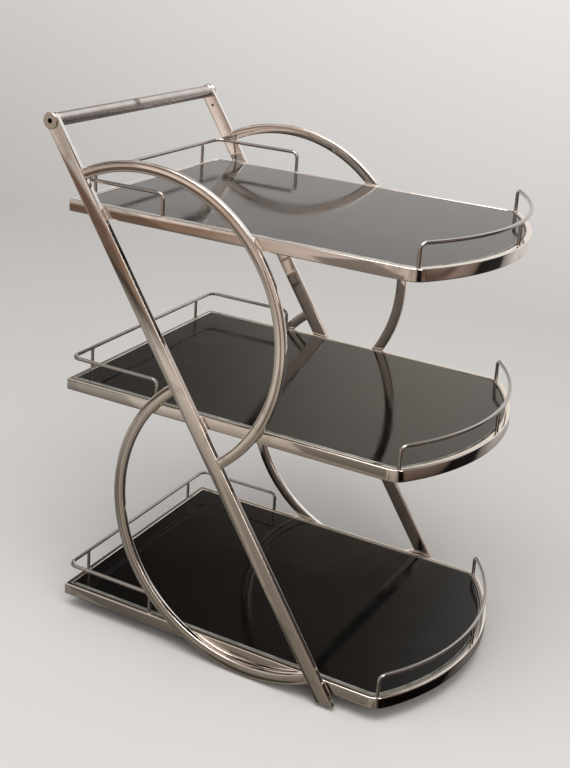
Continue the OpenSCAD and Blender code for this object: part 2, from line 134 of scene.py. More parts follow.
@dataclass(frozen=True)
class Finish:
    """One surface finish, which makes a single material for all the pieces that wear it."""

    label: str

    def shade(self, tree: Tree, shader: Node) -> None:
        """Connects the finish's nodes to the shader; each finish has its own."""
        raise NotImplementedError

    def material(self) -> bpy.types.Material:
        """Makes the material at its first use and gives the same one afterwards.

        Returns:
            The material of this finish.
        """
        known = bpy.data.materials.get(self.label)
        if known is not None:
            return known
        made = bpy.data.materials.new(self.label)
        made.use_nodes = True
        made.node_tree.nodes.clear()
        shader = add_node(made.node_tree, "ShaderNodeBsdfPrincipled")
        add_node(made.node_tree, "ShaderNodeOutputMaterial", {"Surface": shader.outputs[0]})
        self.shade(made.node_tree, shader)
        return made

    def drift(self, tree: Tree, at: Socket, size_mm: float,
              limits: tuple[float, float, float], colours: tuple[str, str],
              **noise: float) -> tuple[Socket, Socket]:
        """Lets one colour drift into another in soft clouds.

        Args:
            tree: The material's node tree.
            at: The position that the clouds follow.
            size_mm: The clouds' size.
            limits: The noise at which the second colour starts and is full, and its
                greatest share.
            colours: The two colours.
            noise: Other inputs of the noise, by name.

        Returns:
            The second colour's share and the mixed colour.
        """
        cloud = add_node(tree, "ShaderNodeTexNoise", {
            "Vector": at, "Scale": per_metre(size_mm), **noise})
        share = add_node(tree, "ShaderNodeMapRange", {
            "Value": cloud.outputs[0], "From Min": limits[0], "From Max": limits[1],
            "To Max": limits[2]})
        tint = add_node(tree, "ShaderNodeMix", {
            0: share.outputs[0], 6: hex_to_linear(colours[0]),
            7: hex_to_linear(colours[1])}, data_type="RGBA")
        return share.outputs[0], tint.outputs[2]

    def emboss(self, tree: Tree, at: Socket, size_mm: float, height: float,
               detail: float) -> tuple[Socket, Socket]:
        """Raises a noise above the surface.

        Args:
            tree: The material's node tree.
            at: The position that the noise follows.
            size_mm: The noise's size.
            height: How high it stands, in metres.
            detail: Its detail.

        Returns:
            The noise and the normal.
        """
        grain = add_node(tree, "ShaderNodeTexNoise", {
            "Vector": at, "Scale": per_metre(size_mm), "Detail": detail})
        bump = add_node(tree, "ShaderNodeBump", {
            "Height": grain.outputs[0], "Distance": height, "Strength": 1.0})
        return grain.outputs[0], bump.outputs[0]


@dataclass(frozen=True)
class BrightPlate(Finish):
    """Nickel-chrome plate on buffed steel tube.

    It mirrors the room almost sharply. Buffing leaves long shallow waves that make the
    mirrored lines wander, and handling leaves a few faint dull patches with hairlines. Where
    the drawn tube's faces are crowned, the mirrored room runs along them in bands.
    """

    colour: str = "#E9E3DD"
    dull: str = "#CFC7BF"
    gloss: float = 0.04
    smudge: float = 0.15
    wave_mm: float = 70.0
    smudge_mm: float = 34.0
    smudge_limits: tuple[float, float, float] = (0.56, 0.80, 1.0)
    hairline_mm: float = 1.6
    hairline_stretch: tuple[float, float, float] = (1.0, 1.0, 9.0)
    hairline_gloss: float = 0.01
    wave_height: float = 0.10 * MM
    crown_from: tuple[float, float, float] | None = None
    crown_way: tuple[float, float, float] = (1.0, 0.0, 0.0)
    crown_radius: float = 0.42

    def crown(self, tree: Tree, at: Socket, normal: Socket) -> Socket:
        """Lets the surface normal turn evenly across a flat face.

        Formula: the height falls as the square of the distance from the face's middle
        line, over twice the crown's radius.

        Args:
            tree: The material's node tree.
            at: The position on the object.
            normal: The normal to start from.

        Returns:
            The turned normal.
        """
        arm = add_node(tree, "ShaderNodeVectorMath", {0: at, 1: self.crown_from},
                       operation="SUBTRACT")
        across = add_node(tree, "ShaderNodeVectorMath", {
            0: arm.outputs[0], 1: self.crown_way}, operation="DOT_PRODUCT")
        square = add_node(tree, "ShaderNodeMath", {
            0: across.outputs["Value"], 1: across.outputs["Value"]}, operation="MULTIPLY")
        fall = add_node(tree, "ShaderNodeMath", {
            0: square.outputs[0], 1: -0.5 / self.crown_radius}, operation="MULTIPLY")
        bump = add_node(tree, "ShaderNodeBump", {
            "Height": fall.outputs[0], "Distance": 1.0, "Strength": 1.0,
            "Normal": normal})
        return bump.outputs[0]

    def shade(self, tree: Tree, shader: Node) -> None:
        """Links waves, patches and hairlines to colour, roughness and normal.

        Args:
            tree: The material's node tree.
            shader: Its principled shader.
        """
        at = add_node(tree, "ShaderNodeTexCoord").outputs["Object"]
        worn, tint = self.drift(tree, at, self.smudge_mm, self.smudge_limits,
                                (self.colour, self.dull), Detail=3.0, Roughness=0.6)
        along = add_node(tree, "ShaderNodeMapping", {
            "Vector": at, "Scale": self.hairline_stretch})
        hair = add_node(tree, "ShaderNodeTexNoise", {
            "Vector": along.outputs[0], "Scale": per_metre(self.hairline_mm),
            "Detail": 2.0})
        rough = add_node(tree, "ShaderNodeMapRange", {
            "Value": worn, "To Min": self.gloss, "To Max": self.smudge})
        grain = add_node(tree, "ShaderNodeMapRange", {
            "Value": hair.outputs[0], "From Min": 0.35, "From Max": 0.65,
            "To Min": -self.hairline_gloss, "To Max": self.hairline_gloss})
        total = add_node(tree, "ShaderNodeMath", {
            0: rough.outputs[0], 1: grain.outputs[0]}, operation="ADD")
        _, facing = self.emboss(tree, at, self.wave_mm, self.wave_height, 1.0)
        if self.crown_from is not None:
            facing = self.crown(tree, at, facing)
        plug(tree, shader, {"Base Color": tint, "Roughness": total.outputs[0],
                            "Normal": facing, "Metallic": 1.0})


@dataclass(frozen=True)
class WornBarPlate(Finish):
    """Satin plate on the round handle bar, dulled and pinkish where hands hold it.

    It scatters the room into a broad soft band along the bar, with patches of finer and
    coarser wear and a small brownish stain near the middle.
    """

    colour: str = "#D3CCC9"
    worn_colour: str = "#C6BDB9"
    stain_colour: str = "#6F5C54"
    satin: float = 0.25
    worn: float = 0.29
    patch_mm: float = 34.0
    grain_mm: float = 3.0
    grain_height: float = 0.004 * MM
    grain_stretch: tuple[float, float, float] = (0.25, 1.0, 0.25)
    stain_at: tuple[float, float, float] = (-0.3340, -0.012, 0.8540)
    stain_mm: float = 9.0
    stain_fade: float = 0.45
    stain_share: float = 0.75

    def shade(self, tree: Tree, shader: Node) -> None:
        """Links wear, the stain and the turning grain to colour, roughness and normal.

        Args:
            tree: The material's node tree.
            shader: Its principled shader.
        """
        at = add_node(tree, "ShaderNodeTexCoord").outputs["Object"]
        patch = add_node(tree, "ShaderNodeTexNoise", {
            "Vector": at, "Scale": per_metre(self.patch_mm), "Detail": 5.0,
            "Roughness": 0.62})
        worn = add_node(tree, "ShaderNodeMapRange", {
            "Value": patch.outputs[0], "From Min": 0.38, "From Max": 0.66})
        turned = add_node(tree, "ShaderNodeMapping", {
            "Vector": at, "Scale": self.grain_stretch})
        _, facing = self.emboss(tree, turned.outputs[0], self.grain_mm, self.grain_height,
                                3.0)
        away = add_node(tree, "ShaderNodeVectorMath", {
            0: at, 1: self.stain_at}, operation="DISTANCE")
        ragged = add_node(tree, "ShaderNodeMath", {
            0: patch.outputs[0], 1: self.stain_mm * MM}, operation="MULTIPLY")
        near = add_node(tree, "ShaderNodeMath", {
            0: away.outputs["Value"], 1: ragged.outputs[0]}, operation="SUBTRACT")
        stain = add_node(tree, "ShaderNodeMapRange", {
            "Value": near.outputs[0], "From Min": self.stain_mm * self.stain_fade * MM,
            "From Max": 0.0, "To Min": 0.0, "To Max": self.stain_share})
        tint = add_node(tree, "ShaderNodeMix", {
            0: worn.outputs[0], 6: hex_to_linear(self.colour),
            7: hex_to_linear(self.worn_colour)}, data_type="RGBA")
        spotted = add_node(tree, "ShaderNodeMix", {
            0: stain.outputs[0], 6: tint.outputs[2],
            7: hex_to_linear(self.stain_colour)}, data_type="RGBA")
        rough = add_node(tree, "ShaderNodeMapRange", {
            "Value": worn.outputs[0], "To Min": self.satin, "To Max": self.worn})
        plug(tree, shader, {"Base Color": spotted.outputs[2], "Roughness": rough.outputs[0],
                            "Normal": facing, "Metallic": 1.0})


@dataclass(frozen=True)
class DarkGlass(Finish):
    """Black float glass with fire-polished faces.

    The body swallows light, so the face shows only what it mirrors, more at a flat angle. A
    wiped film softens the mirrored shapes in broad clouds, and a few specks lie on it.
    """

    body: str = "#0A0909"
    dust: str = "#5A5550"
    gloss: float = 0.06
    filmed: float = 0.14
    film_mm: float = 90.0
    speck_mm: float = 3.0
    speck_limits: tuple[float, float, float] = (0.74, 0.80, 0.12)

    def shade(self, tree: Tree, shader: Node) -> None:
        """Links the film and specks to colour and roughness.

        Args:
            tree: The material's node tree.
            shader: Its principled shader.
        """
        at = add_node(tree, "ShaderNodeTexCoord").outputs["Object"]
        film = add_node(tree, "ShaderNodeTexNoise", {
            "Vector": at, "Scale": per_metre(self.film_mm), "Detail": 5.0,
            "Roughness": 0.6})
        _, tint = self.drift(tree, at, self.speck_mm, self.speck_limits,
                             (self.body, self.dust), Detail=1.0)
        rough = add_node(tree, "ShaderNodeMapRange", {
            "Value": film.outputs[0], "From Min": 0.35, "From Max": 0.70,
            "To Min": self.gloss, "To Max": self.filmed})
        plug(tree, shader, {"Base Color": tint, "Roughness": rough.outputs[0],
                            "IOR": GLASS_IOR})


@dataclass(frozen=True)
class GroundEdge(Finish):
    """The glass pane's edge, ground and left matt.

    The fine pits scatter light, so the edge is a pale grey-green line round the black pane,
    a little uneven where the wheel pressed harder.
    """

    colour: str = "#A5A7A0"
    deep: str = "#70736D"
    matt: float = 0.42
    press_mm: float = 18.0
    press_limits: tuple[float, float, float] = (0.35, 0.7, 1.0)
    pit_mm: float = 0.8
    pit_height: float = 0.02 * MM

    def shade(self, tree: Tree, shader: Node) -> None:
        """Links the grinding marks to colour and normal.

        Args:
            tree: The material's node tree.
            shader: Its principled shader.
        """
        at = add_node(tree, "ShaderNodeTexCoord").outputs["Object"]
        _, tint = self.drift(tree, at, self.press_mm, self.press_limits,
                             (self.colour, self.deep), Detail=3.0)
        _, facing = self.emboss(tree, at, self.pit_mm, self.pit_height, 2.0)
        plug(tree, shader, {"Base Color": tint, "Normal": facing, "Roughness": self.matt,
                            "IOR": GLASS_IOR})


@dataclass(frozen=True)
class PlainMetal(Finish):
    """A hardware metal: rolled strip, bright zinc, black oxide or bead metal.

    The colour drifts in soft clouds over a fine grain, which keeps it from looking painted.
    """

    colour: str = "#A9A7A3"
    cloud: str = "#8C8985"
    rough: float = 0.3
    rough_spread: float = 0.06
    cloud_mm: float = 14.0
    cloud_limits: tuple[float, float, float] = (0.35, 0.68, 1.0)
    grain_mm: float = 1.2
    grain_height: float = 0.01 * MM
    stretch: tuple[float, float, float] = (1.0, 1.0, 1.0)

    def shade(self, tree: Tree, shader: Node) -> None:
        """Links clouds and grain to colour, roughness and normal.

        Args:
            tree: The material's node tree.
            shader: Its principled shader.
        """
        at = add_node(tree, "ShaderNodeTexCoord").outputs["Object"]
        _, tint = self.drift(tree, at, self.cloud_mm, self.cloud_limits,
                             (self.colour, self.cloud), Detail=4.0)
        pulled = add_node(tree, "ShaderNodeMapping", {
            "Vector": at, "Scale": self.stretch})
        grain, facing = self.emboss(tree, pulled.outputs[0], self.grain_mm,
                                    self.grain_height, 3.0)
        rough = add_node(tree, "ShaderNodeMapRange", {
            "Value": grain, "From Min": 0.3, "From Max": 0.7,
            "To Min": self.rough - self.rough_spread,
            "To Max": self.rough + self.rough_spread})
        plug(tree, shader, {"Base Color": tint, "Roughness": rough.outputs[0],
                            "Normal": facing, "Metallic": 1.0})


@dataclass(frozen=True)
class Rubber(Finish):
    """Black moulded rubber: a matt skin with fine mould grain and a little grey bloom."""

    colour: str = "#1B1A1A"
    bloom: str = "#3A3836"
    rough: float = 0.55
    bloom_mm: float = 7.0
    bloom_limits: tuple[float, float, float] = (0.45, 0.8, 0.6)
    grain_mm: float = 0.9
    grain_height: float = 0.03 * MM

    def shade(self, tree: Tree, shader: Node) -> None:
        """Links bloom and mould grain to colour and normal.

        Args:
            tree: The material's node tree.
            shader: Its principled shader.
        """
        at = add_node(tree, "ShaderNodeTexCoord").outputs["Object"]
        _, tint = self.drift(tree, at, self.bloom_mm, self.bloom_limits,
                             (self.colour, self.bloom), Detail=4.0)
        _, facing = self.emboss(tree, at, self.grain_mm, self.grain_height, 2.0)
        plug(tree, shader, {"Base Color": tint, "Normal": facing, "Roughness": self.rough})


TUBE = BrightPlate("nickel_chrome_tube")
POST = BrightPlate("nickel_chrome_post", crown_from=(-0.342, 0.0, 0.846),
                   crown_way=(0.8415, 0.0, 0.5402), crown_radius=0.30)
ROD = BrightPlate("nickel_chrome_rod", colour="#B9B3AF", dull="#958E89", gloss=0.22,
                  smudge=0.32, wave_mm=20.0, wave_height=0.03 * MM)
DISC = BrightPlate("turned_end_disc", colour="#D8D2C8", dull="#BFB6AB", gloss=0.22,
                   smudge=0.34, wave_mm=9.0, wave_height=0.01 * MM)
BAR = WornBarPlate("satin_handle_bar")
PANE = DarkGlass("black_float_glass")
EDGE = GroundEdge("ground_glass_edge")
STRIP = PlainMetal("rolled_strip_steel", colour="#A8A6A2", cloud="#85827D", rough=0.34,
                   stretch=(6.0, 0.3, 6.0))
ZINC = PlainMetal("bright_zinc_plate", colour="#C2C4C4", cloud="#A3A6A8", rough=0.26)
OXIDE = PlainMetal("black_oxide_steel", colour="#2E2C2A", cloud="#1D1C1B", rough=0.40)
BEAD = PlainMetal("polished_weld", colour="#D8D0C8", cloud="#C2B8AE", rough=0.36,
                  cloud_mm=6.0, grain_mm=3.0, grain_height=0.01 * MM)
PAD = Rubber("pad_rubber", colour="#232222")
TYRE = Rubber("tyre_rubber", colour="#1D1C1C")


def dress(names: list[str], finish: Finish) -> None:
    """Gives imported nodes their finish.

    Args:
        names: The nodes' names.
        finish: What they wear.
    """
    for name in names:
        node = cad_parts[name]
        node.data.materials.clear()
        node.data.materials.append(finish.material())
    LOG.info("dressed %d pieces in %s", len(names), finish.label)


# Surfaces

Array = np.ndarray
UP = np.array([0.0, 0.0, 1.0])
FRONT = np.array([1.0, 0.0, 0.0])
LEFTWARD = np.array([0.0, 1.0, 0.0])
# Points round a rod and round a bead of weld metal
ROD_POINTS = 28
BEAD_POINTS = 12
# A tack's rows, the share of its length it reaches, and its ripple's size and pitch
TACK_ROWS = 15
TACK_REACH = 0.985
TACK_RIPPLE = 0.10
TACK_PITCH = 1.9


@dataclass
class Skin:
    """Gathers grids of points into one closed mesh, with a normal for every face corner.

    Sizes come in millimetres and go into the mesh in metres.
    """

    points: list[Array] = field(default_factory=list)
    faces: list[list[int]] = field(default_factory=list)
    normals: list[Array] = field(default_factory=list)
    stuff: list[int] = field(default_factory=list)
    count: int = 0

    def grid(self, points: Array, normals: Array | tuple[Array, Array], loop: bool = False,
             caps: bool = True, stuff: int = 0, cap_stuff: int | None = None) -> None:
        """Adds a grid whose columns go round a closed section and whose rows follow a path.

        Formula: each quad joins two neighbouring points of a row to the same two of the
        next row; the last column joins the first, and with loop the last row the first.

        Args:
            points: Rows by columns by three, in millimetres.
            normals: One normal per point, or a pair with those at each stretch's start
                and at its end, where the surface turns a sharp corner between stretches.
            loop: Whether the path closes on itself.
            caps: Whether the first and last rows are closed with flat faces.
            stuff: Which of the object's finishes the grid wears.
            cap_stuff: Which finish the caps wear, if another.
        """
        rows, cols = points.shape[:2]
        index = self.count + np.arange(rows * cols).reshape(rows, cols)
        start = index if loop else index[:-1]
        stop = np.roll(index, -1, 0) if loop else index[1:]
        if isinstance(normals, tuple):
            at_start, at_stop = normals
        else:
            at_start = normals if loop else normals[:-1]
            at_stop = np.roll(normals, -1, 0) if loop else normals[1:]
        quads = np.stack([start, stop, np.roll(stop, -1, 1), np.roll(start, -1, 1)], -1)
        ways = np.stack([at_start, at_stop, np.roll(at_stop, -1, 1),
                         np.roll(at_start, -1, 1)], -2)
        flat = points.reshape(-1, 3)
        corner = flat[quads.reshape(-1, 4) - self.count]
        facing = np.cross(corner[:, 2] - corner[:, 0], corner[:, 3] - corner[:, 1])
        if (facing * ways.reshape(-1, 4, 3).mean(1)).sum() < 0:
            quads, ways = quads[..., ::-1], ways[..., ::-1, :]
        self.faces += quads.reshape(-1, 4).tolist()
        self.normals.append(ways.reshape(-1, 3))
        self.stuff += [stuff] * quads[..., 0].size
        if caps and not loop:
            for row, inner in ((0, 1), (rows - 1, rows - 2)):
                ring = points[row]
                out = ring.mean(0) - points[inner].mean(0)
                turn = np.cross(ring, np.roll(ring, -1, 0)).sum(0)
                order = index[row] if turn @ out > 0 else index[row][::-1]
                self.faces.append(order.tolist())
                plain = turn / np.linalg.norm(turn) * np.sign(turn @ out)
                self.normals.append(np.repeat(plain[None], cols, 0))
                self.stuff.append(stuff if cap_stuff is None else cap_stuff)
        self.points.append(flat * MM)
        self.count += rows * cols

    def build(self, name: str, body: str, finishes: list[Finish], slot: str,
              replaced: list[str] | None = None) -> None:
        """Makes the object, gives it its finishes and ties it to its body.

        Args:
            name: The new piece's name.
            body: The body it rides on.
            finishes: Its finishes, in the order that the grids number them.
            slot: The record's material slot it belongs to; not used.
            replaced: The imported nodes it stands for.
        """
        mesh = bpy.data.meshes.new(name)
        mesh.from_pydata(np.concatenate(self.points).tolist(), [], self.faces)
        mesh.polygons.foreach_set("use_smooth", np.ones(len(self.faces), bool))
        mesh.polygons.foreach_set("material_index", np.array(self.stuff, np.int32))
        mesh.normals_split_custom_set(np.concatenate(self.normals).tolist())
        for finish in finishes:
            mesh.materials.append(finish.material())
        made = bpy.data.objects.new(name, mesh)
        bpy.context.scene.collection.objects.link(made)
        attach(made, body)
        if replaced:
            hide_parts(*replaced)
        LOG.info("built %s with %d faces", name, len(self.faces))


def crowned_section(wide: float, thick: float, edge: float, face_turn: float = 1.7,
                    side_turn: float = 4.0) -> tuple[Array, Array]:
    """Outlines a flat tube with slightly domed faces and rounded edges.

    Formula: a quarter of the outline turns through a right angle in three arcs that share
    their tangents: a very large one over half the wide face, the edge's own radius, and a
    large one over half the narrow face. The two large radii follow from the width and the
    thickness. The quarter is mirrored into the other three.

    Args:
        wide: The tube's width, along the first coordinate, in millimetres.
        thick: Its thickness, along the second.
        edge: The radius of its edges.
        face_turn: How far half of a wide face turns, in degrees.
        side_turn: How far half of a narrow face turns.

    Returns:
        The outline's points and their outward normals, both columns by two.
    """
    a, c = math.radians(face_turn), math.pi / 2 - math.radians(side_turn)
    lever = np.array([[math.sin(a), 1 - math.sin(c)], [1 - math.cos(a), math.cos(c)]])
    rest = np.array([wide / 2 - edge * (math.sin(c) - math.sin(a)),
                     thick / 2 - edge * (math.cos(a) - math.cos(c))])
    face, side = np.linalg.solve(lever, rest)
    t = np.concatenate([np.linspace(0, a, 5), np.linspace(a, c, 9)[1:],
                        np.linspace(c, math.pi / 2, 4)[1:]])
    t1, t2, t3 = np.minimum(t, a), np.clip(t, a, c), np.maximum(t, c)
    x = face * np.sin(t1) + edge * (np.sin(t2) - np.sin(a)) + side * (
        np.sin(t3) - np.sin(c))
    y = thick / 2 - face * (1 - np.cos(t1)) - edge * (np.cos(a) - np.cos(t2)) - side * (
        np.cos(c) - np.cos(t3))
    quarter = np.stack([x, y, np.sin(t), np.cos(t)], -1)
    turns = [(1, 1), (1, -1), (-1, -1), (-1, 1)]
    parts = [quarter * np.array([sx, sy, sx, sy]) for sx, sy in turns]
    parts = [p[::-1][:-1] if i % 2 else p[:-1] for i, p in enumerate(parts)]
    whole = np.concatenate(parts)
    return whole[:, :2], whole[:, 2:]


def round_section(across: float, count: int = ROD_POINTS) -> tuple[Array, Array]:
    """Outlines a round rod: points at equal angles on a circle of this diameter."""
    t = np.arange(count) * 2 * math.pi / count
    normal = np.stack([np.cos(t), np.sin(t)], -1)
    return normal * across / 2, normal


def carry(section: tuple[Array, Array], origin: Array, u: Array, v: Array,
          size: Array | None = None) -> tuple[Array, Array]:
    """Carries a section along a path.

    Formula: a point is the path's point plus the section's first coordinate along u and
    its second along v, both times the local size; its normal is built the same way.

    Args:
        section: The outline's points and normals.
        origin: The path's points, rows by three.
        u: The direction of the section's first coordinate at each row.
        v: The direction of its second.
        size: A factor on the section at each row, if it changes.

    Returns:
        The grid's points and normals.
    """
    shape, normal = section
    scale = np.ones(len(origin)) if size is None else size
    u, v = np.broadcast_to(u, origin.shape)[:, None], np.broadcast_to(v, origin.shape)[:, None]
    grown = scale[:, None, None]
    points = origin[:, None] + grown * (shape[None, :, :1] * u + shape[None, :, 1:] * v)
    return points, normal[None, :, :1] * u + normal[None, :, 1:] * v


def bend(centre: Array, first: Array, second: Array, steps: int,
         turn: float = math.pi / 2) -> tuple[Array, Array]:
    """Gives an arc's points and tangents.

    Formula: centre plus first times the cosine plus second times the sine of an angle
    that grows evenly from nought to turn; first and second are the arc's two radii.

    Args:
        centre: The arc's centre.
        first: The radius it starts at.
        second: The radius a quarter turn on.
        steps: How many points it has.
        turn: The whole angle, in radians.

    Returns:
        The points and the unit tangents, rows by three.
    """
    t = np.linspace(0, turn, steps)[:, None]
    tangent = -first * np.sin(t) + second * np.cos(t)
    return (centre + first * np.cos(t) + second * np.sin(t),
            tangent / np.linalg.norm(first))


def ring_bead(skin: Skin, centre: Array, across: float, bead: float) -> None:
    """Adds the small ring of filler metal round an upright's foot.

    Formula: a circle of the bead's radius, flattened to four fifths upwards, carried
    round a level circle of the rod's radius.

    Args:
        skin: The mesh it goes into.
        centre: The foot's middle, in millimetres.
        across: The rod's diameter.
        bead: The bead's radius.
    """
    t = np.linspace(0, 2 * math.pi, ROD_POINTS, endpoint=False)
    out = np.stack([np.cos(t), np.sin(t), 0 * t], -1)
    shape, normal = round_section(2 * bead, 10)
    section = (shape * np.array([1.0, 0.8]), normal)
    skin.grid(*carry(section, centre + out * across / 2, out, UP), loop=True)


def tack(skin: Skin, start: Array, stop: Array, bead: float) -> None:
    """Adds a short run of filler metal between two points, thin at both ends.

    Formula: a circle carried along the line from start to stop; it shrinks at the ends as
    the square root of one less the square of the way from the middle, and a slow sine
    makes it ripple.

    Args:
        skin: The mesh it goes into.
        start: The run's first point.
        stop: Its last point.
        bead: The radius at the middle.
    """
    way = (stop - start) / np.linalg.norm(stop - start)
    aside = np.cross(way, LEFTWARD)
    aside /= np.linalg.norm(aside)
    t = np.sin(np.linspace(-1, 1, TACK_ROWS) * math.pi / 2 * TACK_REACH)
    line = (start + stop) / 2 + np.outer(t, (stop - start) / 2)
    ripple = 1 + TACK_RIPPLE * np.sin(np.arange(TACK_ROWS) * TACK_PITCH)
    skin.grid(*carry(round_section(2 * bead, BEAD_POINTS), line, aside, np.cross(way, aside),
                     np.sqrt(1 - t * t) * ripple))


# Sub-assemblies


@dataclass
class SideFrames:
    """The two side frames: each a leaning post with an upper and a lower hoop.

    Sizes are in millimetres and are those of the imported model.
    """

    lean: float = 32.7
    handle: tuple[float, float] = (-342.0, 846.0)
    post_w: float = 25.0
    tube_t: float = 10.0
    edge: float = 2.0
    crown_turn: float = 6.0
    middle_y: float = 225.0
    hoop_r: float = 248.0
    hoop_w: float = 18.0
    hoop_set: float = 13.0
    upper_h: float = 550.0
    lower_h: float = 261.0
    run_in: float = 6.0
    rail_h: float = 20.0
    drain_d: float = 5.0
    drain_drop: float = 28.0
    drain_depth: float = 3.5
    hoop_rows: int = 170
    weld_bead: float = 1.5
    weld_sink: float = 0.9
    weld_inset: tuple[float, float] = (1.6, 2.1)
    tack_bead: float = 1.25
    tack_sink: float = 0.35
    tack_inset: float = 0.5
    tack_ends: tuple[float, float] = (1.0, 0.6)
    steepest: float = 0.96

    def __post_init__(self) -> None:
        """Works out the directions across and along a post."""
        turn = math.radians(self.lean)
        self.across = np.array([math.cos(turn), 0.0, math.sin(turn)])
        self.along = np.array([-math.sin(turn), 0.0, math.cos(turn)])
        self.top = np.array([self.handle[0], 0.0, self.handle[1]])

    def on_post(self, ahead: float, height: float) -> Array:
        """Gives the point this far ahead of the post's middle line, at this height.

        Args:
            ahead: Distance ahead of the middle line, in millimetres.
            height: Height above the floor.

        Returns:
            The point, in the middle plane of the trolley.
        """
        base = self.top + ahead * self.across
        return base + (height - base[2]) / self.along[2] * self.along

    def hoop_centre(self, end: int) -> Array:
        """Gives the centre of the upper hoop (end 1) or of the lower one (end -1)."""
        return self.on_post(-end * self.hoop_set, self.upper_h if end > 0 else self.lower_h)

    def hoop(self, side: Side, end: int) -> None:
        """Builds one hoop: its section carried round the arc beside the post.

        Args:
            side: Which side frame.
            end: 1 for the upper hoop, ahead of the post, and -1 for the lower one.
        """
        reach = self.post_w / 2 + self.hoop_set - self.run_in
        half = math.acos(reach / self.hoop_r)
        centre = self.hoop_centre(end) + LEFTWARD * side.value * self.middle_y
        line, _ = bend(centre, self.hoop_r * end * (
            self.across * math.cos(half) - self.along * math.sin(half)), self.hoop_r * end * (
            self.across * math.sin(half) + self.along * math.cos(half)), self.hoop_rows,
            2 * half)
        out = (line - centre) / self.hoop_r
        skin = Skin()
        section = crowned_section(self.hoop_w, self.tube_t, self.edge, self.crown_turn)
        skin.grid(*carry(section, line, out, LEFTWARD))
        name = f"{side.name.lower()}_{'upper' if end > 0 else 'lower'}_hoop"
        skin.build(f"{name}_tube", "trolley", [TUBE], "polished_tube", [name])

    def welds(self, side: Side) -> None:
        """Lays a weld round each hoop's end, where it meets the post's edge.

        Formula: a circle carried round the hoop's own outline, drawn in by the bead's
        depth, in the plane of the post's edge.

        Args:
            side: Which side frame.
        """
        skin = Skin()
        gap = self.post_w / 2 + self.hoop_set
        rise = math.sqrt(self.hoop_r ** 2 - gap ** 2)
        slant = self.hoop_r / rise
        for end in (1, -1):
            centre = self.hoop_centre(end) + LEFTWARD * side.value * self.middle_y
            edge = centre + end * (gap - self.weld_sink) * self.across
            shape, normal = crowned_section(
                (self.hoop_w - self.weld_inset[0]) * slant,
                self.tube_t - self.weld_inset[1], self.edge)
            out = normal[:, :1] * self.along + normal[:, 1:] * LEFTWARD
            for way in (1, -1):
                line = edge + way * rise * self.along + (
                    shape[:, :1] * self.along + shape[:, 1:] * LEFTWARD)
                skin.grid(*carry(round_section(2 * self.weld_bead, BEAD_POINTS), line, out,
                                 self.across), loop=True)
        skin.build(f"{side.name.lower()}_hoop_welds", "trolley", [BEAD], "polished_tube")

    def tacks(self, side: Side) -> None:
        """Lays the fillet runs where posts and hoops cross the shelves' rails.

        Args:
            side: Which side frame.
        """
        skin = Skin()
        touch = LEFTWARD * side.value * (self.middle_y - self.tube_t / 2 + self.tack_sink)
        for tier in Tier:
            low = tier.value - self.rail_h + self.tack_ends[0]
            high = tier.value - self.tack_ends[1]
            for end in (1, -1):
                ahead = end * (self.post_w / 2 - self.tack_inset)
                tack(skin, self.on_post(ahead, low) + touch,
                     self.on_post(ahead, high) + touch, self.tack_bead)
                centre = self.hoop_centre(end)
                for radius in (self.hoop_r - self.hoop_w / 2 + self.tack_inset,
                               self.hoop_r + self.hoop_w / 2 - self.tack_inset):
                    drop, lift = low - centre[2], high - centre[2]
                    if max(abs(drop), abs(lift)) > radius * self.steepest:
                        continue
                    ends = [centre + np.array([end * math.sqrt(radius ** 2 - d ** 2), 0, d])
                            for d in (drop, lift)]
                    tack(skin, ends[0] + touch, ends[1] + touch, self.tack_bead)
        skin.build(f"{side.name.lower()}_rail_tacks", "trolley", [BEAD], "polished_tube")

    def drain(self, side: Side) -> None:
        """Lines the plating drain hole in the post's inner face with bare dark steel and
        painted shade.

        Formula: a ring of the hole's radius carried from just under the face to the
        hole's bottom, which a flat face closes.

        Args:
            side: Which side frame.
        """
        outward = side.value * LEFTWARD
        mouth = (self.top - self.drain_drop * self.along
                 + outward * (self.middle_y - self.tube_t / 2))
        t = np.linspace(0, 2 * math.pi, 24, endpoint=False)[None, :, None]
        out = np.cos(t) * self.across + np.sin(t) * self.along
        depth = np.array([0.15, self.drain_depth - 0.10, self.drain_depth - 0.08])
        points = mouth + outward * depth[:, None, None] + out * (self.drain_d / 2 - 0.06)
        # The dark oxide lining is partly the bare steel inside the tube and partly painted
        # shade of the hollow behind the hole
        skin = Skin()
        skin.grid(points[:2], np.broadcast_to(-out, (2, 24, 3)), caps=False)
        skin.grid(points[1:], np.broadcast_to(out, (2, 24, 3)))
        skin.build(f"{side.name.lower()}_drain_lining", "trolley", [OXIDE], "dark_screw")

    def build(self) -> None:
        """Builds hoops, welds, tacks and linings, and dresses the posts and foot caps."""
        for side in Side:
            for end in (1, -1):
                self.hoop(side, end)
            self.welds(side)
            self.tacks(side)
            self.drain(side)
            name = side.name.lower()
            dress([f"{name}_post", f"{name}_foot_cap"], POST)


